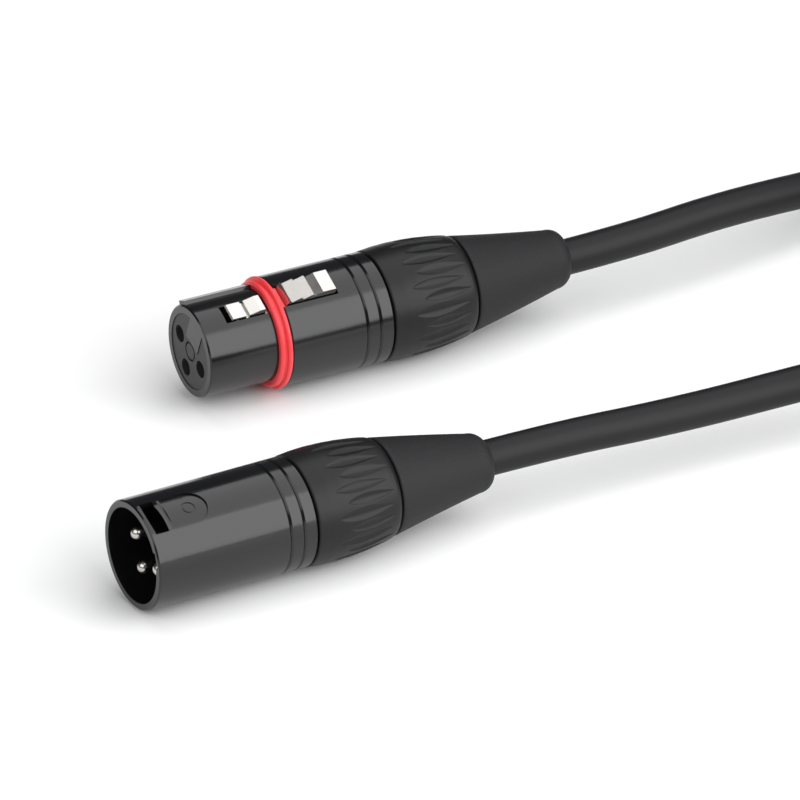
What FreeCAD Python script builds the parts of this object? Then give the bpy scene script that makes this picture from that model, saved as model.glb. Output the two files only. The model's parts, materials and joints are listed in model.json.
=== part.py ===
"""Balanced microphone cable: one lead with a female and a male three-contact circular connector.

Both connectors lie side by side on a flat surface, their faces towards -X.  The lead runs from
the rear of each one to a tied coil.  Every connector piece is drawn in its connector's own frame:
x from the mating face towards the cable, z towards the latch, y across.  Millimetres.
"""
import FreeCAD, Part
import math
import os
import re
import Sketcher
from FreeCAD import Placement, Rotation, Vector

SIZES = {
    # lead
    "cable_radius": 3.1,
    "wire_radius": 0.7,
    "wire_gather": 0.3,
    "wire_play": 0.5,
    "lead_straight": 30.0,
    # where the connectors lie
    "male_face_x": -56.44,
    "male_axis_y": -27.7,
    "female_face_x": -14.44,
    "female_face_y": 28.5,
    "female_turn": -2.2,
    "latch_roll": 23.0,
    # clearances
    "fit_gap": 0.05,
    "seam_gap": 0.2,
    "swing_gap": 0.2,
    "edge_break": 0.25,
    "overcut": 1.0,
    "wall_root": 0.5,
    # contacts
    "contact_circle": 4.1,
    "pin_radius": 1.2,
    "pin_setback": 1.9,
    "pin_shoulder": 1.6,
    "socket_radius": 1.75,
    "socket_start": 2.0,
    "socket_depth": 12.0,
    "socket_mouth": 1.5,
    "cup_radius": 1.15,
    "cup_length": 4.0,
    "cup_depth": 2.5,
    # rear of either shell
    "groove_pitch": 2.5,
    "groove_half_width": 0.3,
    "groove_depth": 0.25,
    "neck_radius": 8.3,
    "neck_length": 6.5,
    "neck_bore": 7.4,
    "thread_pitch": 1.0,
    "thread_depth": 0.3,
    # male shell and insert
    "male_radius": 9.5,
    "male_bore": 8.25,
    "male_length": 30.0,
    "cavity_depth": 14.0,
    "male_lip_radius": 6.9,
    "male_lip_thickness": 0.8,
    "male_insert_length": 8.0,
    "catch_front": 1.0,
    "catch_rear": 4.1,
    "catch_half_width": 3.3,
    "catch_lip": 0.5,
    "catch_lip_drop": 0.5,
    "pad_centre": 8.6,
    "pad_drop": 0.3,
    "mark_radius": 1.2,
    "mark_line": 0.3,
    "mark_depth": 0.12,
    "rail_radius": 8.68,
    "rail_half_width": 1.1,
    "rail_angle": 47.0,
    # female shell and insert
    "nose_radius": 8.05,
    "nose_bore": 6.65,
    "nose_length": 12.8,
    "female_radius": 9.55,
    "female_length": 34.0,
    "female_insert_length": 22.0,
    "insert_flange": 1.5,
    "tongue_half_width": 2.25,
    "tongue_height": 1.9,
    "tongue_length": 4.6,
    "face_groove_radius": 1.75,
    "face_groove_line": 0.35,
    "face_groove_depth": 0.3,
    "rail_start": 0.35,
    # colour ring
    "ring_width": 1.95,
    "ring_foot": 0.4,
    "ring_lip_share": 0.33,
    "ring_lip_round": 0.12,
    "ring_valley_share": 0.6,
    "ring_valley_rise": 0.3,
    "ring_rear_share": 0.18,
    "ring_lip_radius": 9.2,
    "ring_valley_radius": 8.95,
    "ring_radius": 9.75,
    "ring_tab_length": 0.6,
    "ring_tab_height": 8.9,
    # latch
    "hook_front": 5.7,
    "hook_block": 2.7,
    "hook_notch_ramp": 0.1,
    "hook_notch_width": 0.5,
    "hook_notch_depth": 0.6,
    "hook_crown": 0.9,
    "hook_back_slope": 0.2,
    "hook_belly": 2.5,
    "hook_half_width": 1.6,
    "hook_top": 8.3,
    "hook_peak": 8.9,
    "hook_rear": 11.9,
    "hook_bottom": 6.3,
    "hook_window_front": 4.7,
    "strip_top": 7.6,
    "strip_bottom": 6.7,
    "button_gap": 0.1,
    "button_rear": 24.7,
    "button_half_width": 2.15,
    "button_ramp_foot": 9.0,
    "button_top": 10.25,
    "button_crest": 0.65,
    "button_tooth_step": 0.35,
    "button_back_slope": 0.1,
    "button_tooth_pitch": 2.15,
    "button_tooth_rise": 0.1,
    "button_tooth_drop": 0.55,
    "button_window_rear": 25.2,
    "pivot_x": 7.0,
    "pivot_z": 7.15,
    "pivot_radius": 0.4,
    "spring_x": 19.0,
    "spring_radius": 1.5,
    "spring_wire": 0.2,
    "spring_turns": 5.0,
    # ground lug
    "lug_half_width": 1.5,
    "lug_thickness": 0.4,
    "lug_length": 4.5,
    # chuck that grips the cable
    "chuck_setback": 1.0,
    "chuck_collar": 2.0,
    "chuck_straight": 7.2,
    "chuck_taper": 5.0,
    "chuck_tip": 4.8,
    "chuck_slit": 0.8,
    "jacket_setback": 3.0,
    "stub_length": 17.0,
    # grip and boot
    "grip_length": 16.6,
    "grip_front_radius": 9.6,
    "grip_bulge_radius": 9.9,
    "grip_rear_radius": 8.8,
    "grip_end_radius": 8.2,
    "grip_rounding": 0.8,
    "sleeve_radius": 4.6,
    "sleeve_length": 3.4,
    "boot_front_radius": 8.45,
    "boot_rear_radius": 4.9,
    "boot_length": 20.0,
    "boot_rounding": 2.0,
    "boot_bore_gap": 0.15,
    # coil
    "coil_x": 175.6,
    "coil_y": -10.7,
    "coil_inner_turn": 27.5,
    "coil_wind_gap": 0.1,
    "coil_columns": 4.0,
    "coil_layers": 4.0,
    "coil_margin": 0.6,
    "coil_lift": 1.2,
    "coil_bevel": 1.5,
    "coil_end_gap": 1.8,
    # tie
    "tie_width": 16.0,
    "tie_thickness": 1.2,
    "tie_slack": 1.6,
}

# Outermost turn, and inner and outer radius and height of the wound turns.
COIL_TURN = "(coil_inner_turn + (coil_columns - 1) * (2 * cable_radius + coil_wind_gap))"
COIL_INNER = "(coil_inner_turn - cable_radius - coil_margin)"
COIL_OUTER = f"({COIL_TURN} + cable_radius + coil_margin)"
COIL_HEIGHT = "(coil_layers * 2 * cable_radius + coil_lift + coil_margin)"

# Centre line of each loose run of the lead, from its second bend to the coil.
COIL_START = f"coil_x - sqrt({COIL_OUTER} ^ 2 - ({COIL_TURN} - cable_radius) ^ 2) - coil_end_gap"
TABLE_LEVEL = "cable_radius + seam_gap"
TOP_LEVEL = f"{COIL_HEIGHT} - cable_radius - coil_lift"
FEMALE_ROUTE = [
    (87.6, 27.5, 10.0),
    (109.6, 29.6, 8.0),
    (131.6, f"coil_y + {COIL_TURN}", TABLE_LEVEL),
    (COIL_START, f"coil_y + {COIL_TURN}", TABLE_LEVEL),
]
MALE_ROUTE = [
    (46.6, -28.9, 8.6),
    (73.6, -30.2, 9.0),
    (91.6, -35.7, 12.0),
    (115.6, -51.5, 19.6),
    (133.6, f"coil_y - {COIL_TURN}", TOP_LEVEL),
    (COIL_START, f"coil_y - {COIL_TURN}", TOP_LEVEL),
]

doc = FreeCAD.newDocument("MicrophoneCable")
sheet = doc.addObject("Spreadsheet::Sheet", "Sizes")
for row, (name, number) in enumerate(SIZES.items(), start=1):
    sheet.set(f"A{row}", name)
    sheet.set(f"B{row}", str(number))
    sheet.setAlias(f"B{row}", name)
doc.recompute()

nodes = {}


# ---- helpers: every length is a formula of sheet names, bound to the object that uses it ----

def linked(formula):
    return re.sub(r"[a-z_]+\b(?!\()", lambda word: "Sizes." + word.group(), str(formula))


def size(formula):
    return float(sheet.evalExpression(linked(formula)))


def origin_plane(body, role):
    return next(feature for feature in body.Origin.OriginFeatures if feature.Role == role)


def outline(body, plane, corners):
    """Closed sketch.  A corner is (x, y) after a straight line or (x, y, via_x, via_y) after an arc."""
    sketch = body.newObject("Sketcher::SketchObject", body.Name + "Outline")
    sketch.AttachmentSupport = [(origin_plane(body, plane), "")]
    sketch.MapMode = "FlatFace"
    points = [Vector(size(corner[0]), size(corner[1]), 0) for corner in corners]
    ends = []
    for index, start in enumerate(points):
        target = corners[(index + 1) % len(corners)]
        finish = points[(index + 1) % len(points)]
        if len(target) == 2:
            sketch.addGeometry(Part.LineSegment(start, finish), False)
            ends.append((1, 2))
            continue
        middle = Vector(size(target[2]), size(target[3]), 0)
        sketch.addGeometry(Part.Arc(start, middle, finish), False)
        turns_left = (middle - start).cross(finish - middle).z > 0
        ends.append((1, 2) if turns_left else (2, 1))
    for index, corner in enumerate(corners):
        following = (index + 1) % len(corners)
        coincident = ("Coincident", index, ends[index][1], following, ends[following][0])
        sketch.addConstraint(Sketcher.Constraint(*coincident))
        pin_point(sketch, index, ends[index][0], corner[0], corner[1])
    for index, corner in enumerate(corners):
        if len(corner) == 4:
            arc = (index - 1) % len(corners)
            middle = Vector(size(corner[2]), size(corner[3]), 0)
            mark = sketch.addGeometry(Part.Point(middle), True)
            pin_point(sketch, mark, 1, corner[2], corner[3])
            sketch.addConstraint(Sketcher.Constraint("PointOnObject", mark, 1, arc))
    return sketch


def pin_point(sketch, geometry, end, x, y):
    for kind, formula in (("DistanceX", x), ("DistanceY", y)):
        constraint = Sketcher.Constraint(kind, -1, 1, geometry, end, size(formula))
        index = sketch.addConstraint(constraint)
        sketch.setExpression(f"Constraints[{index}]", linked(formula))


def turned(name, corners, axis="H_Axis"):
    """A piece turned about the connector's axis; corners are (x, radius)."""
    body = doc.addObject("PartDesign::Body", name)
    sketch = outline(body, "XZ_Plane", corners)
    revolution = body.newObject("PartDesign::Revolution", name + "Revolution")
    revolution.Profile = (sketch, [""])
    revolution.ReferenceAxis = (sketch, [axis])
    revolution.Angle = 360
    return body


def plate(name, corners, half_width):
    """A side profile in x and z, as thick as twice half_width."""
    body = doc.addObject("PartDesign::Body", name)
    sketch = outline(body, "XZ_Plane", corners)
    pad = body.newObject("PartDesign::Pad", name + "Pad")
    pad.Profile = (sketch, [""])
    pad.SideType = "Symmetric"
    pad.setExpression("Length", linked(f"2 * ({half_width})"))
    return body


def bind_base(piece, x, y, z):
    for letter, formula in (("x", x), ("y", y), ("z", z)):
        piece.setExpression(f".Placement.Base.{letter}", linked(formula))


def block(name, x_from, x_to, y_from, y_to, z_from, z_to):
    box = doc.addObject("Part::Box", name)
    box.setExpression("Length", linked(f"({x_to}) - ({x_from})"))
    box.setExpression("Width", linked(f"({y_to}) - ({y_from})"))
    box.setExpression("Height", linked(f"({z_to}) - ({z_from})"))
    bind_base(box, x_from, y_from, z_from)
    return box


def rod(name, radius, x_from, x_to, y="0", z="0"):
    cylinder = doc.addObject("Part::Cylinder", name)
    cylinder.setExpression("Radius", linked(radius))
    cylinder.setExpression("Height", linked(f"({x_to}) - ({x_from})"))
    cylinder.Placement = Placement(Vector(), Rotation(Vector(0, 1, 0), 90))
    bind_base(cylinder, x_from, y, z)
    return cylinder


def post(name, radius, x, z_from, z_to):
    cylinder = doc.addObject("Part::Cylinder", name)
    cylinder.setExpression("Radius", linked(radius))
    cylinder.setExpression("Height", linked(f"({z_to}) - ({z_from})"))
    bind_base(cylinder, x, "0", z_from)
    return cylinder


def cross_pin(name, radius, half_width):
    """A cylinder along y on the latch's pivot."""
    cylinder = doc.addObject("Part::Cylinder", name)
    cylinder.setExpression("Radius", linked(radius))
    cylinder.setExpression("Height", linked(f"2 * ({half_width})"))
    cylinder.Placement = Placement(Vector(), Rotation(Vector(1, 0, 0), -90))
    bind_base(cylinder, "pivot_x", f"-({half_width})", "pivot_z")
    return cylinder


def sleeve(name, inner, outer):
    """A tube over the front of the male shell, between two radii."""
    return turned(name, [("0", inner), ("0", outer), ("cavity_depth", outer), ("cavity_depth", inner)])


def shared(name, pieces):
    common = doc.addObject("Part::MultiCommon", name)
    common.Shapes = pieces
    return common


def fused(name, pieces):
    fuse = doc.addObject("Part::MultiFuse", name)
    fuse.Shapes = pieces
    return fuse


def cut(name, base, tools):
    """base less every tool; each tool has to take something away."""
    piece = base
    for index, tool in enumerate(tools):
        difference = doc.addObject("Part::Cut", f"{name}{index}")
        difference.Base = piece
        difference.Tool = tool
        doc.recompute()
        if difference.Shape.Volume > piece.Shape.Volume - 1e-4:
            raise ValueError(f"{tool.Name} cuts nothing from {name}")
        piece = difference
    return piece


def tilted(piece, angle):
    """Turns a block about the connector's axis, from the latch side towards +y."""
    turn = doc.addObject("Part::Compound", piece.Name + "Turned")
    turn.Links = [piece]
    turn.Placement = Placement(Vector(), Rotation(Vector(1, 0, 0), -angle))
    return turn


def keep(node, piece, frame=Placement()):
    """Names a finished sub-part and moves it from its connector's frame to its place."""
    doc.recompute()
    place = piece.Placement
    for letter in "xyz":
        piece.setExpression(f".Placement.Base.{letter}", None)
    piece.Placement = frame.multiply(place)
    piece.Label = node
    nodes[node] = piece


def connector_frame(x, y, turn):
    yaw = Rotation(Vector(0, 0, 1), turn)
    roll = Rotation(Vector(1, 0, 0), size("latch_roll"))
    return Placement(Vector(x, y, size("grip_bulge_radius")), yaw.multiply(roll))


MALE = connector_frame(size("male_face_x"), size("male_axis_y"), 0)
FEMALE = connector_frame(size("female_face_x"), size("female_face_y"), size("female_turn"))

# Contact places across the axis: the latch side stays free.  The mating pair mirrors y.
FEMALE_CONTACTS = {1: ("-contact_circle", "0"), 2: ("contact_circle", "0"), 3: ("0", "-contact_circle")}
MALE_CONTACTS = {1: ("contact_circle", "0"), 2: ("-contact_circle", "0"), 3: ("0", "-contact_circle")}


# ---- free runs: straight stretches joined by tangent arcs ----

CORNER_SHARE = 0.45
THREAD_RIDGES = 5

def rounded_path(points):
    """Wire through a list of points, each corner an arc as large as its two runs allow."""
    edges = []
    radii = []
    start = points[0]
    for before, corner, after in zip(points, points[1:], points[2:]):
        back = before - corner
        ahead = after - corner
        trim = CORNER_SHARE * min(back.Length, ahead.Length)
        half_turn = (math.pi - back.getAngle(ahead)) / 2
        radius = trim / math.tan(half_turn)
        radii.append(radius)
        back.normalize()
        ahead.normalize()
        enter = corner + back * trim
        leave = corner + ahead * trim
        inward = (back + ahead).normalize()
        apex = corner + inward * radius * (1 / math.cos(half_turn) - 1)
        edges.append(Part.LineSegment(start, enter).toShape())
        edges.append(Part.Arc(enter, apex, leave).toShape())
        start = leave
    edges.append(Part.LineSegment(start, points[-1]).toShape())
    return Part.Wire(edges), radii


def tube(points, radius):
    path, radii = rounded_path(points)
    direction = points[1] - points[0]
    section = Part.Wire(Part.makeCircle(radius, points[0], direction))
    solid = path.makePipeShell([section], True, True)
    return solid, path.Length, radii


def shape_node(node, shape, frame=Placement()):
    feature = doc.addObject("Part::Feature", node)
    feature.Shape = shape
    keep(node, feature, frame)


# ---- rear end, the same on both connectors ----

def rear_outline(length, radius):
    """Outer corners of a shell from its last grooves to the end of the threaded neck."""
    corners = []
    for count in (2, 1):
        groove = f"{length} - {count} * groove_pitch"
        corners.append((f"{groove} - groove_half_width", radius))
        corners.append((groove, f"{radius} - groove_depth"))
        corners.append((f"{groove} + groove_half_width", radius))
    corners.append((f"{length} - edge_break", radius))
    corners.append((length, f"{radius} - edge_break"))
    corners.append((length, "neck_radius"))
    for ridge in range(THREAD_RIDGES):
        root = f"{length} + {ridge} * thread_pitch + thread_pitch"
        corners.append((f"{root} - thread_pitch / 3", "neck_radius"))
        corners.append((root, "neck_radius - thread_depth"))
        corners.append((f"{root} + thread_pitch / 3", "neck_radius"))
    corners.append((f"{length} + neck_length", "neck_radius"))
    corners.append((f"{length} + neck_length", "neck_bore"))
    return corners


def build_rear(side, length, frame):
    """Chuck, grip, boot and cable end behind a shell of that length."""
    front = f"{length} + seam_gap"
    rear = f"{length} + grip_length"
    chuck = turned(side + "ChuckBody", [
        (f"{length} + chuck_setback", "cable_radius + fit_gap"),
        (f"{length} + chuck_setback", "neck_bore - fit_gap"),
        (f"{length} + chuck_straight", "neck_bore - fit_gap"),
        (f"{length} + chuck_straight + chuck_taper", "chuck_tip"),
        (f"{length} + chuck_straight + chuck_taper", "cable_radius + fit_gap"),
    ])
    slits = []
    for index, across in enumerate(("Flat", "Upright")):
        slit = block(
            side + across + "Slit",
            f"{length} + chuck_setback + chuck_collar", f"{length} + chuck_straight + chuck_taper + overcut",
            "-chuck_slit / 2", "chuck_slit / 2",
            "-neck_bore", "neck_bore")
        slits.append(tilted(slit, 90 * index))
    keep(f"{side}_chuck", cut(side + "Chuck", chuck, slits), frame)

    taper_start = f"{length} + neck_length + seam_gap"
    keep(f"{side}_grip", turned(side + "Grip", [
        (front, "neck_radius + fit_gap"),
        (front, "grip_front_radius - edge_break"),
        (f"{front} + edge_break", "grip_front_radius"),
        (f"{front} + 3 * edge_break", "grip_front_radius + edge_break / 2"),
        (f"{rear} - grip_rounding", "grip_rear_radius", f"{front} + 5", "grip_bulge_radius"),
        (rear, "grip_end_radius", f"{rear} - grip_rounding / 4", "grip_rear_radius - grip_rounding / 3"),
        (rear, "sleeve_radius"),
        (f"{rear} - sleeve_length - seam_gap", "sleeve_radius"),
        (f"{rear} - sleeve_length - seam_gap", "chuck_tip + seam_gap"),
        (f"{length} + chuck_straight + chuck_taper + seam_gap", "chuck_tip + seam_gap"),
        (f"{length} + chuck_straight + seam_gap", "neck_bore - fit_gap + seam_gap"),
        (taper_start, "neck_bore - fit_gap + seam_gap"),
        (taper_start, "neck_radius + fit_gap"),
    ]), frame)

    boot_rear = f"{rear} + seam_gap + boot_length"
    bore = "cable_radius + boot_bore_gap"
    keep(f"{side}_boot", turned(side + "Boot", [
        (f"{rear} - sleeve_length", bore),
        (f"{rear} - sleeve_length", "sleeve_radius"),
        (f"{rear} + seam_gap", "sleeve_radius"),
        (f"{rear} + seam_gap", "boot_front_radius"),
        (f"{boot_rear} - boot_rounding", "boot_rear_radius"),
        (boot_rear, f"{bore} + edge_break",
         f"{boot_rear} - boot_rounding / 3", "boot_rear_radius - boot_rounding / 3"),
        (boot_rear, bore),
    ]), frame)

    end = rod(side + "End", "cable_radius", f"{length} + jacket_setback", f"{length} + stub_length")
    keep(f"{side}_cable_end", end, frame)


def build_lug(side, behind, bore, frame):
    """Solder lug that stands against the shell's bore, opposite the latch."""
    seat = f"sqrt({bore} ^ 2 - lug_half_width ^ 2)"
    lug = block(side + "Lug", behind, f"{behind} + lug_length",
                "-lug_half_width", "lug_half_width", f"-{seat}", f"lug_thickness - {seat}")
    keep(f"{side}_ground_lug", lug, frame)


def build_wires(side, cup_end, jacket, contacts, frame):
    """Conductors and drain from the solder cups to the stripped end of the cable."""
    names = {1: "drain_wire", 2: "hot_wire", 3: "cold_wire"}
    for number, (y, z) in contacts.items():
        cup = Vector(size(cup_end), size(y), size(z))
        end = Vector(size(jacket), size(y) * size("wire_gather"), size(z) * size("wire_gather"))
        gap = end.x - cup.x
        reach = Vector(gap / 4, 0, 0)
        inside = Vector(size("cup_depth - wire_play"), 0, 0)
        wire = tube([cup - inside, cup + reach, end - reach, end], size("wire_radius"))[0]
        shape_node(f"{side}_{names[number]}", wire, frame)


def contact_places(contacts):
    return [(f"{number}", y, z) for number, (y, z) in contacts.items()]


# ---- male connector ----

def build_male():
    shell = turned("MaleShellBody", [
        ("0", "male_bore"),
        ("0", "male_radius - edge_break"),
        ("edge_break", "male_radius"),
        *rear_outline("male_length", "male_radius"),
        ("cavity_depth + male_lip_thickness", "neck_bore"),
        ("cavity_depth + male_lip_thickness", "male_lip_radius"),
        ("cavity_depth", "male_lip_radius"),
        ("cavity_depth", "male_bore"),
    ])
    top = "male_radius + overcut"
    slot = block("CatchSlot", "catch_front", "catch_rear",
                 "-catch_half_width", "catch_half_width", "male_bore - 2 * overcut", top)
    lip = block("CatchLip", "catch_rear", "catch_rear + catch_lip",
                "-catch_half_width", "catch_half_width", "male_radius - catch_lip_drop", top)
    bridge = block("CatchBridge", "2 * edge_break", "catch_front",
                   "-catch_half_width", "catch_half_width", "male_radius - catch_lip_drop", top)
    pad_floor = "male_radius - pad_drop"
    pad = block("PadFlat", "catch_rear + catch_lip", "pad_centre",
                "-catch_half_width", "catch_half_width", "male_bore", top)
    pad_end = post("PadEnd", "catch_half_width", "pad_centre", "male_bore", top)
    pad = shared("PadRecess", [fused("Pad", [pad, pad_end]), sleeve("PadSleeve", pad_floor, top)])
    ring = cut("MarkRing", post("MarkOuter", "mark_radius", "pad_centre", "male_bore", top),
               [post("MarkInner", "mark_radius - mark_line", "pad_centre", "male_bore", top)])
    ring = shared("PadMark", [ring, sleeve("MarkSleeve", f"{pad_floor} - mark_depth", top)])
    keyway = tilted(block("Keyway", "-overcut", "cavity_depth",
                          "-rail_half_width - swing_gap", "rail_half_width + swing_gap",
                          "male_bore - overcut", "rail_radius + fit_gap"), -size("rail_angle"))
    keep("male_shell", cut("MaleShell", shell, [slot, lip, bridge, pad, ring, keyway]), MALE)

    back = "cavity_depth + male_lip_thickness + male_insert_length"
    insert = turned("MaleInsertBody", [
        ("cavity_depth", "0"),
        ("cavity_depth", "male_lip_radius - fit_gap"),
        ("cavity_depth + male_lip_thickness", "male_lip_radius - fit_gap"),
        ("cavity_depth + male_lip_thickness", "neck_bore - fit_gap"),
        (back, "neck_bore - fit_gap"),
        (back, "0"),
    ])
    bores = [rod("MaleBore" + number, "pin_shoulder", "0", f"{back} + overcut", y, z)
             for number, y, z in contact_places(MALE_CONTACTS)]
    keep("male_insert", cut("MaleInsert", insert, bores), MALE)

    for number, y, z in contact_places(MALE_CONTACTS):
        pin = turned("Pin" + number, [
            ("pin_setback", "0"),
            ("pin_setback + pin_radius", "pin_radius",
             "pin_setback + pin_radius * (1 - sqrt(0.5))", "pin_radius * sqrt(0.5)"),
            ("cavity_depth", "pin_radius"),
            ("cavity_depth", "pin_shoulder"),
            (back, "pin_shoulder"),
            (back, "cup_radius"),
            (f"{back} + cup_length", "cup_radius"),
            (f"{back} + cup_length", "wire_radius + fit_gap"),
            (f"{back} + cup_length - cup_depth", "wire_radius + fit_gap"),
            (f"{back} + cup_length - cup_depth", "0"),
        ])
        offset = Placement(Vector(0, size(y), size(z)), Rotation())
        keep(f"male_pin_{number}", pin, MALE.multiply(offset))

    build_lug("male", back, "neck_bore", MALE)
    build_wires("male", f"{back} + cup_length", "male_length + jacket_setback", MALE_CONTACTS, MALE)
    build_rear("male", "male_length", MALE)


# ---- female connector ----

def build_female():
    ring_end = "nose_length + ring_width"
    button_front = f"{ring_end} + ring_tab_length + button_gap"
    shoulder = f"{ring_end} + fit_gap"
    insert_front = "edge_break / 2"
    flange = "female_insert_length"
    shell = turned("FemaleShellBody", [
        ("0", "nose_bore"),
        ("0", "nose_radius - edge_break"),
        ("edge_break", "nose_radius"),
        (shoulder, "nose_radius"),
        (shoulder, "female_radius - edge_break"),
        (f"{shoulder} + edge_break", "female_radius"),
        *rear_outline("female_length", "female_radius"),
        (flange, "neck_bore"),
        (flange, "nose_bore"),
    ])
    tongue = block("Tongue", "0", "tongue_length",
                   "-tongue_half_width", "tongue_half_width", "tongue_height", "nose_bore + wall_root")
    rail = tilted(block("Rail", "rail_start", "nose_length - fit_gap",
                        "-rail_half_width", "rail_half_width", "nose_bore + wall_root", "rail_radius"),
                  size("rail_angle"))
    hook_window = block("HookWindow", "hook_window_front", button_front,
                        "-hook_half_width - swing_gap", "hook_half_width + swing_gap",
                        "hook_bottom - 2 * overcut", "female_radius + overcut")
    button_window = block("ButtonWindow", shoulder, "button_window_rear",
                          "-button_half_width - swing_gap", "button_half_width + swing_gap",
                          "hook_bottom - 2 * overcut", "female_radius + overcut")
    pivot_hole = cross_pin("PivotHole", "pivot_radius", "hook_half_width + 3 * swing_gap")
    shell = fused("FemaleShellSolid", [shell, tongue, rail])
    keep("female_shell", cut("FemaleShell", shell, [hook_window, button_window, pivot_hole]), FEMALE)

    back = f"{flange} + insert_flange"
    insert = turned("FemaleInsertBody", [
        (insert_front, "0"),
        (insert_front, "nose_bore - fit_gap"),
        (flange, "nose_bore - fit_gap"),
        (flange, "neck_bore - fit_gap"),
        (back, "neck_bore - fit_gap"),
        (back, "0"),
    ])
    slot = block("LatchSlot", "-overcut", f"{back} + overcut",
                 "-tongue_half_width - fit_gap", "tongue_half_width + fit_gap",
                 "tongue_height - fit_gap", "neck_bore")
    disc = rod("FaceGrooveOuter", "face_groove_radius", "0", f"{insert_front} + face_groove_depth")
    core = rod("FaceGrooveInner", "face_groove_radius - face_groove_line", "0",
               f"{insert_front} + face_groove_depth")
    bores = []
    for number, y, z in contact_places(FEMALE_CONTACTS):
        bores.append(rod("SocketMouth" + number, "socket_mouth", "0", "socket_start", y, z))
        bores.append(rod("SocketBore" + number, "socket_radius", "socket_start", f"{back} + overcut", y, z))
    groove = cut("FaceGroove", disc, [core])
    keep("female_insert", cut("FemaleInsert", insert, [slot, groove] + bores), FEMALE)

    for number, y, z in contact_places(FEMALE_CONTACTS):
        socket = turned("Socket" + number, [
            ("socket_start", "pin_radius + fit_gap"),
            ("socket_start", "socket_radius"),
            (back, "socket_radius"),
            (back, "cup_radius"),
            (f"{back} + cup_length", "cup_radius"),
            (f"{back} + cup_length", "wire_radius + fit_gap"),
            (f"{back} + cup_length - cup_depth", "wire_radius + fit_gap"),
            (f"{back} + cup_length - cup_depth", "0"),
            ("socket_start + socket_depth", "0"),
            ("socket_start + socket_depth", "pin_radius + fit_gap"),
        ])
        offset = Placement(Vector(0, size(y), size(z)), Rotation())
        keep(f"female_socket_{number}", socket, FEMALE.multiply(offset))

    ring = turned("RingBody", [
        ("nose_length", "nose_radius + fit_gap"),
        ("nose_length", "nose_radius + ring_foot"),
        ("nose_length + ring_width * ring_lip_share", "ring_lip_radius",
         "nose_length + ring_width * ring_lip_share / 3", "ring_lip_radius - ring_lip_round"),
        ("nose_length + ring_width * ring_valley_share", "ring_valley_radius + ring_valley_rise",
         "nose_length + ring_width * (ring_lip_share + ring_valley_share) / 2", "ring_valley_radius"),
        (ring_end, "ring_radius - edge_break",
         f"{ring_end} - ring_width * ring_rear_share", "ring_radius"),
        (ring_end, "nose_radius + fit_gap"),
    ])
    tab = block("RingTab", f"{ring_end} - edge_break", f"{ring_end} + ring_tab_length",
                "-button_half_width", "button_half_width", "nose_radius + fit_gap", "ring_tab_height")
    keep("female_colour_ring", fused("Ring", [ring, tab]), FEMALE)

    build_latch(button_front)
    build_lug("female", back, "neck_bore", FEMALE)
    build_wires("female", f"{back} + cup_length", "female_length + jacket_setback", FEMALE_CONTACTS, FEMALE)
    build_rear("female", "female_length", FEMALE)


def build_latch(button_front):
    """Lever with the hook in front and the thumb button behind, on one cross pin, with its spring."""
    notch = "hook_front + hook_block"
    hook = plate("HookPlate", [
        ("hook_front", "hook_bottom"),
        ("hook_front", "hook_top - edge_break"),
        ("hook_front + edge_break", "hook_top"),
        (notch, "hook_top"),
        (f"{notch} + hook_notch_ramp", "hook_top - hook_notch_depth"),
        (f"{notch} + hook_notch_ramp + hook_notch_width", "hook_top - hook_notch_depth"),
        (f"{notch} + 2 * hook_notch_ramp + hook_notch_width", "hook_top"),
        ("hook_rear - hook_crown", "hook_peak"),
        ("hook_rear", "hook_peak"),
        ("hook_rear + hook_back_slope", "strip_top"),
        (f"{button_front} + overcut", "strip_top"),
        (f"{button_front} + overcut", "strip_bottom"),
        ("hook_rear", "strip_bottom"),
        ("hook_front + hook_belly", "hook_bottom"),
    ], "hook_half_width")
    corners = [
        ("button_rear", "strip_bottom"),
        (button_front, "strip_bottom"),
        (button_front, "button_ramp_foot"),
    ]
    crest = f"{button_front} + button_crest"
    for tooth in range(3):
        height = f"button_top + {tooth} * button_tooth_rise"
        corners.append((f"{crest} + {tooth} * button_tooth_pitch", height))
        corners.append((f"{crest} + {tooth} * button_tooth_pitch + button_tooth_step",
                        f"{height} - button_tooth_drop"))
    last_top = "button_top + 3 * button_tooth_rise"
    corners.append((f"{crest} + 3 * button_tooth_pitch - button_tooth_step", last_top))
    corners.append(("button_rear - button_back_slope", last_top))
    button = plate("ButtonPlate", corners, "button_half_width")
    lever = fused("Lever", [hook, button])
    bore = cross_pin("LatchBore", "pivot_radius + fit_gap", "hook_half_width + overcut")
    keep("female_latch", cut("Latch", lever, [bore]), FEMALE)

    pin = cross_pin("LatchPin", "pivot_radius", "hook_half_width + 3 * swing_gap")
    keep("female_latch_pin", pin, FEMALE)

    base = size("tongue_height - fit_gap")
    height = size("strip_bottom") - base - 2 * size("spring_wire")
    helix = Part.makeLongHelix(height / size("spring_turns"), height, size("spring_radius"))
    start = Vector(size("spring_radius"), 0, 0)
    section = Part.Wire(Part.makeCircle(size("spring_wire"), start, Vector(0, 1, 0)))
    coil = Part.Wire(helix).makePipeShell([section], True, True)
    coil.translate(Vector(size("spring_x"), 0, base + size("spring_wire")))
    shape_node("female_latch_spring", coil, FEMALE)


# ---- lead, coil and tie ----

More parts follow.
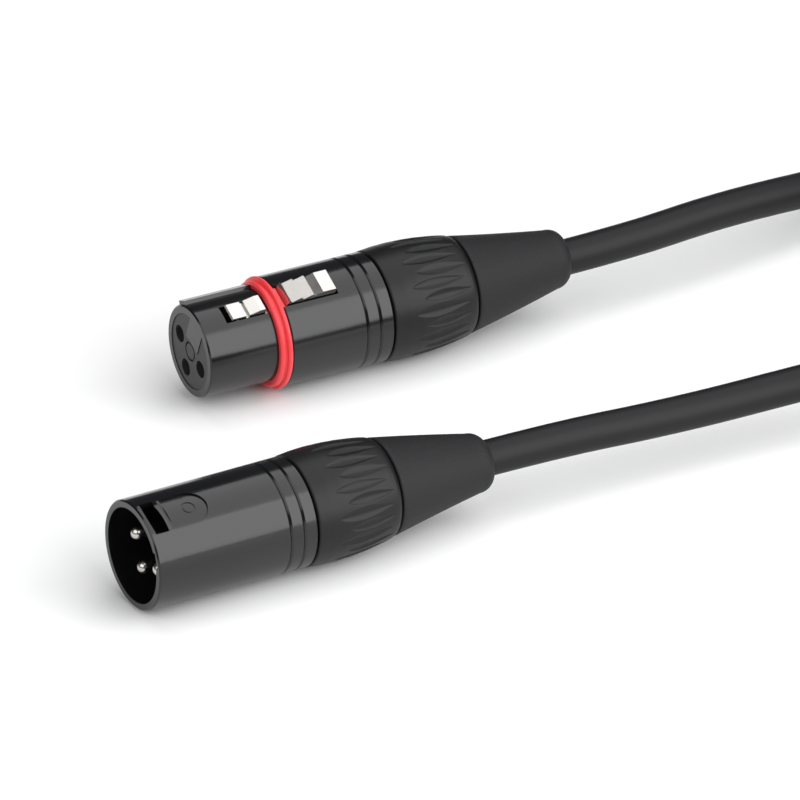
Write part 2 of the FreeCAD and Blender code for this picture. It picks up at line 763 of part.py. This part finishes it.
def build_lead():
    area = math.pi * size("cable_radius") ** 2
    for side, route, frame in (("female", FEMALE_ROUTE, FEMALE), ("male", MALE_ROUTE, MALE)):
        start = frame.multVec(Vector(size(f"{side}_length + stub_length"), 0, 0))
        first_bend = frame.multVec(Vector(size(f"{side}_length + stub_length + lead_straight"), 0, 0))
        points = [start, first_bend] + [Vector(*map(size, point)) for point in route]
        solid, length, radii = tube(points, size("cable_radius"))
        print(side, "lead length", round(length, 1), "volume ratio", round(solid.Volume / (area * length), 4),
              "radii", [round(radius) for radius in radii])
        shape_node(f"{side}_lead", solid)

    inner = COIL_INNER
    outer = COIL_OUTER
    height = COIL_HEIGHT
    bevel = "coil_bevel"
    ring = turned("CoilBody", [
        (inner, bevel),
        (f"{inner} + {bevel}", "0"),
        (f"{outer} - {bevel}", "0"),
        (outer, bevel),
        (outer, f"{height} - {bevel}"),
        (f"{outer} - {bevel}", height),
        (f"{inner} + {bevel}", height),
        (inner, f"{height} - {bevel}"),
    ], axis="V_Axis")
    ring.Placement = Placement(Vector(size("coil_x"), size("coil_y"), 0), Rotation())
    ends = []
    for side, route in (("Female", FEMALE_ROUTE), ("Male", MALE_ROUTE)):
        x, y, z = route[-1]
        ends.append(rod(side + "CoilEnd", "cable_radius", x, "coil_x", y, z))

    middle = f"coil_x + ({inner} + {outer}) / 2"
    depth = f"(({outer} - {inner}) / 2 + tie_slack)"
    outside = block("TieOutside", f"{middle} - {depth}", f"{middle} + {depth}",
                    "coil_y - tie_width / 2", "coil_y + tie_width / 2", "0", height)
    inside = block("TieInside", f"{middle} - {depth} + tie_thickness", f"{middle} + {depth} - tie_thickness",
                   "coil_y - tie_width", "coil_y + tie_width", "tie_thickness", f"{height} - tie_thickness")
    tie = cut("Tie", outside, [inside])
    keep("coil_tie", tie)
    wound = fused("Wound", [ring] + ends)
    keep("cable_coil", cut("Coil", wound, [tie]))


build_male()
build_female()
build_lead()
doc.recompute()

for feature in doc.Objects:
    if "Invalid" in feature.State or "Error" in feature.State:
        raise ValueError(f"{feature.Name} failed: {feature.State}")
for node, piece in nodes.items():
    shape = piece.Shape
    if shape.isNull() or not shape.isValid() or shape.Volume <= 0:
        raise ValueError(f"{node} has no valid solid")

os.makedirs("parts", exist_ok=True)
for node, piece in nodes.items():
    piece.Shape.exportStep(f"parts/{node}.step")

cord_nodes = {"female_lead", "male_lead", "cable_coil", "coil_tie"}
body_box = FreeCAD.BoundBox()
for node, piece in nodes.items():
    if node not in cord_nodes:
        body_box.add(piece.Shape.BoundBox)
print("nodes", len(nodes), "connectors' box", body_box)
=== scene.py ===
"""Microphone cable with a female and a male connector and a tied coil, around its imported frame."""
import json
import math

import bmesh
import bpy
from mathutils import Matrix, Vector
from mathutils.geometry import convex_hull_2d


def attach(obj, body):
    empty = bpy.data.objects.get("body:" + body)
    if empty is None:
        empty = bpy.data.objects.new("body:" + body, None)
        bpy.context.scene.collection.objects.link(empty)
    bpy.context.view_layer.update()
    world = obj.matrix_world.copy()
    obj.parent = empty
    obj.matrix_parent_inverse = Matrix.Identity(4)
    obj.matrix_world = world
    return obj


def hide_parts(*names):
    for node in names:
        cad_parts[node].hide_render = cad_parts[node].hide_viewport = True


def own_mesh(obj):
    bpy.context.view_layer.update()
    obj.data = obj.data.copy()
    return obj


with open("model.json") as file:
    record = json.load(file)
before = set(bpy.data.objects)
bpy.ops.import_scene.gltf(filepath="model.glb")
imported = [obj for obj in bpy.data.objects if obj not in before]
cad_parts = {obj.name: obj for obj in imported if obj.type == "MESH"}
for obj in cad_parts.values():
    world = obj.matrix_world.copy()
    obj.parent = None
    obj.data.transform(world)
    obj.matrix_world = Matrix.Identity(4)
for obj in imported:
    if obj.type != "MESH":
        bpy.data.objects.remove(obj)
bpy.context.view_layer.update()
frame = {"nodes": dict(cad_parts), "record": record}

record = frame["record"]
nodes = frame["nodes"]
MM = 0.001


# ---- Table and light -------------------------------------------------------------------
# A plain white table. One tall soft light stands in front on the right, a second hangs
# overhead and a third fills from the left, so that the round shells carry one broad streak
# and the table stays white.
table_mesh = bpy.data.meshes.new("table")
TABLE_REACH = 6.0
table_mesh.from_pydata(
    [(-TABLE_REACH, -TABLE_REACH, 0), (TABLE_REACH, -TABLE_REACH, 0),
     (TABLE_REACH, TABLE_REACH, 0), (-TABLE_REACH, TABLE_REACH, 0)],
    [], [(0, 1, 2, 3)])
table_top = bpy.data.objects.new("table", table_mesh)
bpy.context.scene.collection.objects.link(table_top)
paper = bpy.data.materials.new("white table")
paper.use_nodes = True
paper_shader = paper.node_tree.nodes["Principled BSDF"]
paper_shader.inputs["Base Color"].default_value = (0.94, 0.94, 0.94, 1)
paper_shader.inputs["Roughness"].default_value = 0.7
paper_shader.inputs["Specular IOR Level"].default_value = 0.2
table_mesh.materials.append(paper)


def soft_light(name, towards, distance, width, height, radiance):
    """A flat soft light that faces the middle of the connectors."""
    light = bpy.data.lights.new(name, "AREA")
    light.shape = "RECTANGLE"
    light.size = width
    light.size_y = height
    light.energy = radiance * math.pi * width * height
    lamp = bpy.data.objects.new(name, light)
    direction = Vector(towards).normalized()
    lamp.location = direction * distance
    lamp.rotation_mode = "QUATERNION"
    lamp.rotation_quaternion = direction.to_track_quat("Z", "Y")
    bpy.context.scene.collection.objects.link(lamp)


soft_light("front light", (0.43, -0.77, 0.47), 1.4, 1.7, 1.35, 3.6)
soft_light("overhead light", (0.30, 0.05, 0.95), 1.5, 1.9, 1.5, 1.9)
soft_light("left fill", (-0.75, -0.20, 0.63), 1.6, 1.8, 1.2, 1.7)
world = bpy.data.worlds.new("studio")
world.use_nodes = True
world.node_tree.nodes["Background"].inputs["Color"].default_value = (0.9, 0.93, 1.0, 1)
world.node_tree.nodes["Background"].inputs["Strength"].default_value = 0.08
bpy.context.scene.world = world
bpy.context.scene.view_settings.view_transform = "Standard"


# ---- Camera ----------------------------------------------------------------------------
# A long lens from the front left, well above the table.
camera = bpy.data.objects.new("camera", bpy.data.cameras.new("camera"))
azimuth = math.radians(-29.56)
elevation = math.radians(29.05)
AIM = (8.06, -3.5, 9.9)
CAMERA_DISTANCE = 3.344
back = Vector((
    math.sin(azimuth) * math.cos(elevation),
    -math.cos(azimuth) * math.cos(elevation),
    math.sin(elevation)))
camera.location = Vector(AIM) * MM + back * CAMERA_DISTANCE
camera.rotation_mode = "QUATERNION"
camera.rotation_quaternion = back.to_track_quat("Z", "Y")
camera.data.lens = 900
camera.data.sensor_width = 36
camera.data.clip_start = 0.1
camera.data.clip_end = 30
bpy.context.scene.collection.objects.link(camera)
bpy.context.scene.camera = camera


# ---- The lead --------------------------------------------------------------------------
# One soft black PVC cable, 6.2 mm thick and 3 m long. It leaves the female boot, is wound
# into a coil of three layers and crosses it once on top on its way to the male boot.
CABLE_RADIUS = 3.1 * MM
female_run = [
    (36.52, 26.54, 9.9), (66.5, 25.39, 9.9), (87.6, 27.5, 10.0),
    (109.6, 29.6, 8.0), (131.6, 35.7, 3.3), (148.6, 35.7, 3.3),
]
male_run = [
    (148.6, -57.1, 22.3), (133.6, -57.1, 22.3), (115.6, -51.5, 19.6), (91.6, -35.7, 12.0),
    (73.6, -30.2, 9.0), (46.6, -28.9, 8.6), (20.56, -27.7, 9.9), (-9.44, -27.7, 9.9),
]
COIL_CENTRE = (175.6, -10.7)
OUTER_TURN = 46.4
TURN_PITCH = 6.3
OUTER_COLUMN = 3.0
LAYER_HEIGHTS = (3.3, 9.65, 16.0, 22.3)
WINDING = 4140
STEPS_PER_TURN = 24
# (angle wound when the change begins, change of column, change of layer), each 90 degrees long
CHANGES = [
    (270, -1, 0), (630, -1, 0), (990, -1, 0), (1260, 0, 1),
    (1530, 1, 0), (1890, 1, 0), (2250, 1, 0), (2520, 0, 1),
    (2790, -1, 0), (3150, -1, 0), (3510, -1, 0), (3780, 0, 1),
]
LAST_SPIRAL = 3870
TIE_LIFT = 1.2
TIE_SPREAD = 45


def eased(share):
    share = min(1.0, max(0.0, share))
    return share * share * (3 - 2 * share)


def wound_place(wound):
    """Radius and height of the winding after that many degrees, in millimetres."""
    column = OUTER_COLUMN
    layer = 0.0
    for start, sideways, upwards in CHANGES:
        done = eased((wound - start) / 90)
        column += sideways * done
        layer += upwards * done
    column += OUTER_COLUMN * min(1.0, max(0.0, (wound - LAST_SPIRAL) / (WINDING - LAST_SPIRAL)))
    below = min(2, int(layer))
    height = LAYER_HEIGHTS[below]
    height += (layer - below) * (LAYER_HEIGHTS[below + 1] - LAYER_HEIGHTS[below])
    from_tie = abs((wound - 90 + 180) % 360 - 180)
    height += TIE_LIFT * eased(1 - from_tie / TIE_SPREAD)
    return OUTER_TURN - (OUTER_COLUMN - column) * TURN_PITCH, height


def coil_points():
    step = 360 / STEPS_PER_TURN
    points = []
    for count in range(int(WINDING / step) + 1):
        radius, height = wound_place(count * step)
        around = math.radians(count * step - 90)
        reach = radius / math.cos(math.radians(step) / 2)
        points.append((
            COIL_CENTRE[0] + reach * math.cos(around),
            COIL_CENTRE[1] - reach * math.sin(around),
            height))
    return points


lead_points = female_run + coil_points() + male_run
lead_curve = bpy.data.curves.new("cable_lead", "CURVE")
lead_curve.dimensions = "3D"
spline = lead_curve.splines.new("NURBS")
spline.points.add(len(lead_points) - 1)
for knot, place in zip(spline.points, lead_points):
    knot.co = (place[0] * MM, place[1] * MM, place[2] * MM, 1)
    knot.radius = CABLE_RADIUS
spline.order_u = 3
spline.use_endpoint_u = True
spline.resolution_u = 6
lead_curve.bevel_depth = 1.0
lead_curve.bevel_resolution = 8
lead_curve.use_fill_caps = True
lead = bpy.data.objects.new("cable_lead", lead_curve)
bpy.context.scene.collection.objects.link(lead)
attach(lead, "cable")
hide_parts("female_lead", "male_lead", "cable_coil")


def surface_group(name, sockets):
    """A node group with the given input and output sockets, filled by the caller to give colours and
    heights to the material around it.
    """
    group = bpy.data.node_groups.new(name, "ShaderNodeTree")
    for label, kind, value in sockets["in"]:
        socket = group.interface.new_socket(label, in_out="INPUT", socket_type=kind)
        socket.default_value = value
    for label, kind in sockets["out"]:
        group.interface.new_socket(label, in_out="OUTPUT", socket_type=kind)
    group.nodes.new("NodeGroupInput")
    group.nodes.new("NodeGroupOutput")
    return group


def link(group, source, output, target, socket):
    group.links.new(source.outputs[output], target.inputs[socket])


def moulding_grain():
    """Fine pits of a moulded surface: Height for a bump, and Shade and Gloss that vary a little."""
    group = surface_group("moulding grain", {
        "in": [("Grains per metre", "NodeSocketFloat", 2000.0),
               ("Patches per metre", "NodeSocketFloat", 60.0),
               ("Darker", "NodeSocketColor", (0.02, 0.02, 0.02, 1)),
               ("Lighter", "NodeSocketColor", (0.03, 0.03, 0.03, 1)),
               ("Smoothest", "NodeSocketFloat", 0.4), ("Roughest", "NodeSocketFloat", 0.6)],
        "out": [("Height", "NodeSocketFloat"), ("Shade", "NodeSocketColor"),
                ("Gloss", "NodeSocketFloat")]})
    start = group.nodes["Group Input"]
    finish = group.nodes["Group Output"]
    place = group.nodes.new("ShaderNodeTexCoord")
    fine = group.nodes.new("ShaderNodeTexNoise")
    fine.inputs["Detail"].default_value = 3
    patches = group.nodes.new("ShaderNodeTexNoise")
    patches.inputs["Detail"].default_value = 4
    colour = group.nodes.new("ShaderNodeMix")
    colour.data_type = "RGBA"
    gloss = group.nodes.new("ShaderNodeMix")
    for texture, count in ((fine, "Grains per metre"), (patches, "Patches per metre")):
        link(group, place, "Object", texture, "Vector")
        link(group, start, count, texture, "Scale")
    link(group, fine, "Fac", finish, "Height")
    group.links.new(patches.outputs["Fac"], colour.inputs["Factor"])
    group.links.new(start.outputs["Darker"], colour.inputs[6])
    group.links.new(start.outputs["Lighter"], colour.inputs[7])
    group.links.new(colour.outputs[2], finish.inputs["Shade"])
    group.links.new(patches.outputs["Fac"], gloss.inputs["Factor"])
    group.links.new(start.outputs["Smoothest"], gloss.inputs[2])
    group.links.new(start.outputs["Roughest"], gloss.inputs[3])
    group.links.new(gloss.outputs[0], finish.inputs["Gloss"])
    return group


GRAIN = moulding_grain()


def moulded(name, darker, lighter, smoothest, roughest, grains, bump,
            patches=60.0, metallic=0.0, shine=0.5):
    """A material whose colour, gloss and relief come from the moulding grain."""
    material = bpy.data.materials.new(name)
    material.use_nodes = True
    tree = material.node_tree
    shader = tree.nodes["Principled BSDF"]
    grain = tree.nodes.new("ShaderNodeGroup")
    grain.node_tree = GRAIN
    grain.inputs["Grains per metre"].default_value = grains
    grain.inputs["Patches per metre"].default_value = patches
    grain.inputs["Darker"].default_value = (*darker, 1)
    grain.inputs["Lighter"].default_value = (*lighter, 1)
    grain.inputs["Smoothest"].default_value = smoothest
    grain.inputs["Roughest"].default_value = roughest
    relief = tree.nodes.new("ShaderNodeBump")
    relief.inputs["Strength"].default_value = bump
    relief.inputs["Distance"].default_value = 0.0001
    tree.links.new(grain.outputs["Height"], relief.inputs["Height"])
    tree.links.new(relief.outputs["Normal"], shader.inputs["Normal"])
    tree.links.new(grain.outputs["Shade"], shader.inputs["Base Color"])
    tree.links.new(grain.outputs["Gloss"], shader.inputs["Roughness"])
    shader.inputs["Metallic"].default_value = metallic
    shader.inputs["Specular IOR Level"].default_value = shine
    return material


jacket = moulded("satin black cable jacket", (0.006, 0.006, 0.007), (0.01, 0.01, 0.011),
                 0.42, 0.52, 1400, 0.25, shine=0.24)
lead_curve.materials.append(jacket)


# ---- Hook and loop tie ---------------------------------------------------------------
# A woven black strap around the bundle, pulled tight and pressed onto itself.
TIE_WIDTH = 16.0
TIE_THICKNESS = 1.1
TIE_GAP = 0.05
FLAP_GAP = 0.08
LOOP_POINTS = 160
STRAND_POINTS = 48
strands = []
for wound in range(90, WINDING + 1, 360):
    radius, height = wound_place(wound)
    for across in (0, TIE_WIDTH / 2):
        strands.append((math.sqrt(radius ** 2 - across ** 2), height))


def tie_loop(clearance):
    """Tight loop around every strand, as far off the cable as the clearance."""
    reach = 3.1 + clearance
    cloud = []
    for x, z in strands:
        for part in range(STRAND_POINTS):
            turn = math.tau * part / STRAND_POINTS
            cloud.append((x + reach * math.cos(turn), z + reach * math.sin(turn)))
    hull = [cloud[index] for index in convex_hull_2d(cloud)]
    lowest_inside = min(range(len(hull)), key=lambda index: hull[index][0] + hull[index][1])
    return evenly(hull[lowest_inside:] + hull[:lowest_inside], LOOP_POINTS)


def evenly(loop, count):
    """The same closed loop with that many points at equal distances."""
    lengths = [math.dist(a, b) for a, b in zip(loop, loop[1:] + loop[:1])]
    total = sum(lengths)
    points = []
    for number in range(count):
        left = total * number / count
        for index, length in enumerate(lengths):
            if left <= length:
                break
            left -= length
        a = loop[index]
        b = loop[(index + 1) % len(loop)]
        share = left / length
        points.append((a[0] + (b[0] - a[0]) * share, a[1] + (b[1] - a[1]) * share))
    return points


def strap(name, inner, outer, closed):
    mesh = bpy.data.meshes.new(name)
    shape = bmesh.new()
    rows = []
    for inside, outside in zip(inner, outer):
        row = []
        for across in (-0.5, 0.5):
            for x, z in (inside, outside):
                row.append(shape.verts.new((
                    (COIL_CENTRE[0] + x) * MM,
                    (COIL_CENTRE[1] + across * TIE_WIDTH) * MM,
                    z * MM)))
        rows.append(row)
    count = len(rows)
    for index in range(count if closed else count - 1):
        here = rows[index]
        there = rows[(index + 1) % count]
        for first, second in ((0, 1), (1, 3), (3, 2), (2, 0)):
            shape.faces.new((here[first], here[second], there[second], there[first]))
    if not closed:
        shape.faces.new([rows[0][corner] for corner in (0, 2, 3, 1)])
        shape.faces.new([rows[-1][corner] for corner in (0, 1, 3, 2)])
    bmesh.ops.recalc_face_normals(shape, faces=shape.faces)
    shape.to_mesh(mesh)
    shape.free()
    for face in mesh.polygons:
        face.use_smooth = True
    piece = bpy.data.objects.new(name, mesh)
    bpy.context.scene.collection.objects.link(piece)
    rounding = piece.modifiers.new("edges", "BEVEL")
    rounding.width = 0.25 * MM
    rounding.segments = 2
    rounding.limit_method = "ANGLE"
    rounding.angle_limit = math.radians(50)
    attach(piece, "cable")
    return piece


band = strap("coil_tie_band", tie_loop(TIE_GAP), tie_loop(TIE_GAP + TIE_THICKNESS), True)
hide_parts("coil_tie")
FLAP_SHARE = slice(54, 104)
flap = strap(
    "coil_tie_flap",
    tie_loop(FLAP_GAP + TIE_THICKNESS)[FLAP_SHARE],
    tie_loop(FLAP_GAP + 2 * TIE_THICKNESS)[FLAP_SHARE],
    False)


def woven_tape():
    """Over-and-under threads across the strap, with fuzz, and painted shade in the dips between the
    threads.
    """
    material = bpy.data.materials.new("black woven tape")
    material.use_nodes = True
    tree = material.node_tree
    shader = tree.nodes["Principled BSDF"]
    place = tree.nodes.new("ShaderNodeTexCoord")
    relief = tree.nodes.new("ShaderNodeBump")
    relief.inputs["Strength"].default_value = 0.8
    relief.inputs["Distance"].default_value = 0.0003
    heights = []
    for direction, scale in (("X", 900.0), ("Y", 700.0)):
        thread = tree.nodes.new("ShaderNodeTexWave")
        thread.bands_direction = direction
        thread.inputs["Scale"].default_value = scale
        thread.inputs["Distortion"].default_value = 1.5
        thread.inputs["Detail"].default_value = 1
        tree.links.new(place.outputs["Object"], thread.inputs["Vector"])
        heights.append(thread)
    weave = tree.nodes.new("ShaderNodeMath")
    weave.operation = "MULTIPLY"
    tree.links.new(heights[0].outputs["Fac"], weave.inputs[0])
    tree.links.new(heights[1].outputs["Fac"], weave.inputs[1])
    tree.links.new(weave.outputs[0], relief.inputs["Height"])
    tree.links.new(relief.outputs["Normal"], shader.inputs["Normal"])
    # The colour follows the weave's heights: painted shade, darker where the threads dip between one
    # another.
    colour = tree.nodes.new("ShaderNodeMix")
    colour.data_type = "RGBA"
    colour.inputs[6].default_value = (0.008, 0.008, 0.008, 1)
    colour.inputs[7].default_value = (0.035, 0.035, 0.035, 1)
    tree.links.new(weave.outputs[0], colour.inputs["Factor"])
    tree.links.new(colour.outputs[2], shader.inputs["Base Color"])
    shader.inputs["Roughness"].default_value = 0.9
    shader.inputs["Sheen Weight"].default_value = 0.3
    return material


tape = woven_tape()
band.data.materials.append(tape)
flap.data.materials.append(tape)


# ---- Where each connector lies ---------------------------------------------------------
# The mounts give the middle of each mating face, its axis, and the line through its
# contacts; z points to the latch.
mounts = {mount["name"]: mount for mount in record["mounts"]}


def connector_frame(face, first_contact, second_contact):
    start = Vector(mounts[face]["pos_m"])
    along = -Vector(mounts[face]["axis"]).normalized()
    across = Vector(mounts[first_contact]["pos_m"]) - Vector(mounts[second_contact]["pos_m"])
    across = (across - along * across.dot(along)).normalized()
    upward = along.cross(across)
    return Matrix.Translation(start) @ Matrix((along, across, upward)).transposed().to_4x4()


MALE = connector_frame("male_cavity", "male_contact_1", "male_contact_2")
FEMALE = connector_frame("female_nose", "female_contact_2", "female_contact_1")
LENGTHS = {"male": 30.0, "female": 34.0}
PLACES = {"male": MALE, "female": FEMALE}


# ---- Grips -----------------------------------------------------------------------------
# Each grip is one satin black moulding that screws onto its shell. Slender leaf-shaped
# hollows, set in two staggered rows, let the fingers turn it.
LEAVES = 13
LEAF_DEPTH = 0.34
LEAF_WIDTH_SHARE = 0.21
LEAF_ROWS = ((4.2, 14.6), (6.0, 15.4))
GRIP_ROWS = 150
GRIP_AROUND = 540
GRIP_OUTLINE = [
    (0.2, 9.2), (0.2, 9.4), (0.3, 9.55), (0.5, 9.62), (1.0, 9.66),
    (3.0, 9.82), (5.5, 9.9), (8.0, 9.83), (10.5, 9.62), (13.0, 9.3),
    (15.0, 8.98), (15.8, 8.8), (16.25, 8.6), (16.5, 8.35), (16.6, 8.1),
]
GRIP_LINING = [(16.6, 4.7), (8.0, 7.6), (6.8, 8.4)]
GRIP_FRONT = 0.2
GRIP_REACH = 16.4
GRIP_MOUTH = 8.4


def radius_at(outline, x):
    for (x0, r0), (x1, r1) in zip(outline, outline[1:]):
        if x <= x1:
            return r0 + (r1 - r0) * (x - x0) / max(1e-6, x1 - x0)
    return outline[-1][1]


def leaf_depth(x, around):
    """How deep the finger hollows are at that place, in millimetres."""
    deepest = 0.0
    for row, (first, last) in enumerate(LEAF_ROWS):
        along = (x - first) / (last - first)
        if not 0 < along < 1:
            continue
        spacing = math.tau / LEAVES
        nearest = (around - row * spacing / 2 + spacing / 2) % spacing - spacing / 2
        half_width = LEAF_WIDTH_SHARE * spacing * math.sin(math.pi * along ** 0.8) ** 0.9
        offset = nearest / max(1e-4, half_width)
        if abs(offset) < 1:
            deepest = max(deepest, (1 - offset ** 2) * math.sin(math.pi * along ** 0.8) ** 0.6)
    return LEAF_DEPTH * deepest


def lathe_mesh(name, place, start, rows, around, surface, bend=None):
    """A closed turned shape. rows are (x, radius); surface(x, angle) is taken off the radius."""
    mesh = bpy.data.meshes.new(name)
    points = []
    for x, radius in rows:
        for step in range(around):
            angle = math.tau * step / around
            reach = radius - surface(x, angle)
            spot = Vector(((start + x), reach * math.sin(angle), reach * math.cos(angle)))
            if bend:
                spot += bend(x)
            points.append(place @ (spot * MM))
    faces = []
    for row in range(len(rows)):
        following = (row + 1) % len(rows)
        for step in range(around):
            beside = (step + 1) % around
            faces.append((row * around + step, row * around + beside,
                          following * around + beside, following * around + step))
    mesh.from_pydata(points, [], faces)
    shape = bmesh.new()
    shape.from_mesh(mesh)
    bmesh.ops.recalc_face_normals(shape, faces=shape.faces)
    shape.to_mesh(mesh)
    shape.free()
    for face in mesh.polygons:
        face.use_smooth = True
    piece = bpy.data.objects.new(name, mesh)
    bpy.context.scene.collection.objects.link(piece)
    return piece


grip_plastic = moulded("satin black grip", (0.005, 0.005, 0.0055), (0.009, 0.009, 0.0095),
                       0.34, 0.44, 1500, 0.12, shine=0.26)
for side, length in LENGTHS.items():
    rows = [(GRIP_FRONT, GRIP_MOUTH)]
    for count in range(GRIP_ROWS + 1):
        x = GRIP_FRONT + GRIP_REACH * count / GRIP_ROWS
        rows.append((x, radius_at(GRIP_OUTLINE, x)))
    grip = lathe_mesh(side + "_grip_fluted", PLACES[side], length, rows + GRIP_LINING,
                      GRIP_AROUND, leaf_depth)
    grip.data.materials.append(grip_plastic)
    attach(grip, side + "_grip")
    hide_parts(side + "_grip")


# ---- Boots -----------------------------------------------------------------------------
# A long tapered sleeve of fine-grained black rubber keeps the cable from kinking. It is
# pushed through the grip from inside and ends in a thick rounded lip around the cable.
BOOT_OUTLINE = [(16.8, 8.2), (16.9, 8.38), (17.1, 8.45)]
TAPER_STEPS = 24
TAPER_LENGTH = 17.3
TAPER_DROP = 3.3
LIP_STEPS = 10
LIP_LENGTH = 2.4
LIP_DROP = 1.85
BOOT_AROUND = 96
for count in range(1, TAPER_STEPS + 1):
    BOOT_OUTLINE.append((17.1 + TAPER_LENGTH * count / TAPER_STEPS,
                         8.45 - TAPER_DROP * count / TAPER_STEPS))
lip_start, lip_radius = BOOT_OUTLINE[-1]
for count in range(1, LIP_STEPS + 1):
    turn = math.pi / 2 * count / LIP_STEPS
    BOOT_OUTLINE.append((lip_start + LIP_LENGTH * math.sin(turn),
                         lip_radius - LIP_DROP * (1 - math.cos(turn))))
BOOT_LINING = [(36.3, 3.15), (13.4, 3.15), (13.4, 4.55), (16.75, 4.55)]
BOOT_SAG = {"male": Vector((0, -0.2, -0.45)), "female": Vector((0, 0.45, 0.2))}
boot_rubber = moulded("fine grained black rubber", (0.008, 0.008, 0.009), (0.013, 0.013, 0.014),
                      0.55, 0.68, 2600, 0.9, shine=0.3)
for side, length in LENGTHS.items():
    sag = BOOT_SAG[side]
    boot = lathe_mesh(side + "_boot_sleeve", PLACES[side], length,
                      BOOT_OUTLINE + BOOT_LINING, BOOT_AROUND,
                      lambda x, angle: 0.0,
                      lambda x, sag=sag: sag * (max(0.0, x - 17) / 20) ** 2)
    boot.data.materials.append(boot_rubber)
    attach(boot, side + "_grip")
    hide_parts(side + "_boot")


# ---- Shells ----------------------------------------------------------------------------
# Die-cast zinc tubes under gloss black lacquer.
def dressed(material, *names):
    for name in names:
        piece = nodes[name]
        piece.data.materials.clear()
        piece.data.materials.append(material)


lacquer = moulded("gloss black lacquer", (0.004, 0.004, 0.0045), (0.007, 0.007, 0.0075),
                  0.14, 0.2, 700, 0.05)
dressed(lacquer, "male_shell", "female_shell")


# ---- Latch spring ----------------------------------------------------------------------
# The small compression spring under the thumb button. It stands on the insert.
spring = bpy.data.objects.new("latch_spring_coils", nodes["female_latch_spring"].data.copy())
spring.matrix_world = nodes["female_latch_spring"].matrix_world.copy()
bpy.context.scene.collection.objects.link(spring)
spring.data.materials.clear()
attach(spring, "cable")
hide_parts("female_latch_spring")
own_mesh(spring)


# ---- Inserts ---------------------------------------------------------------------------
# Black mouldings that hold the contacts.
insert_plastic = moulded("matte black insert", (0.02, 0.02, 0.021), (0.028, 0.028, 0.03),
                         0.45, 0.6, 2500, 0.3)
dressed(insert_plastic, "male_insert", "female_insert", "male_chuck", "female_chuck")


# ---- Contacts, latch and small metal pieces -------------------------------------------
# Bright nickel on pins and latch, brass sockets, and bare steel on the spring, the pin and the lugs,
# which are tinned on the real connector.
nickel = moulded("bright nickel", (0.5, 0.48, 0.46), (0.62, 0.6, 0.57),
                 0.16, 0.28, 900, 0.06, 200, metallic=1.0)
dressed(nickel, "male_pin_1", "male_pin_2", "male_pin_3", "female_latch")
brass = moulded("plated brass", (0.6, 0.45, 0.2), (0.75, 0.6, 0.3),
                0.2, 0.35, 900, 0.06, 200, metallic=1.0)
dressed(brass, "female_socket_1", "female_socket_2", "female_socket_3")
steel = moulded("bare steel", (0.5, 0.5, 0.5), (0.62, 0.62, 0.62),
                0.25, 0.4, 900, 0.1, 200, metallic=1.0)
dressed(steel, "female_latch_pin", "female_latch_spring", "male_ground_lug", "female_ground_lug")
spring.data.materials.append(steel)


# ---- Colour ring -----------------------------------------------------------------------
# A coral red moulding in the gap between nose and shell.
ring_red = moulded("coral red moulding", (0.8, 0.045, 0.055), (0.9, 0.06, 0.07),
                   0.3, 0.4, 1200, 0.1)
dressed(ring_red, "female_colour_ring")


# ---- Conductors and cable ends ------------------------------------------------------------
# Bare copper drain, red and white insulation, and the stripped jacket ends.
copper = moulded("bare copper", (0.7, 0.35, 0.22), (0.8, 0.45, 0.3),
                 0.3, 0.4, 1500, 0.3, 200, metallic=1.0)
dressed(copper, "male_drain_wire", "female_drain_wire")
red_wire = moulded("red insulation", (0.5, 0.03, 0.03), (0.6, 0.05, 0.05), 0.35, 0.45, 1500, 0.1)
dressed(red_wire, "male_hot_wire", "female_hot_wire")
white_wire = moulded("white insulation", (0.7, 0.7, 0.68), (0.8, 0.8, 0.78), 0.35, 0.45, 1500, 0.1)
dressed(white_wire, "male_cold_wire", "female_cold_wire")
dressed(jacket, "male_cable_end", "female_cable_end")
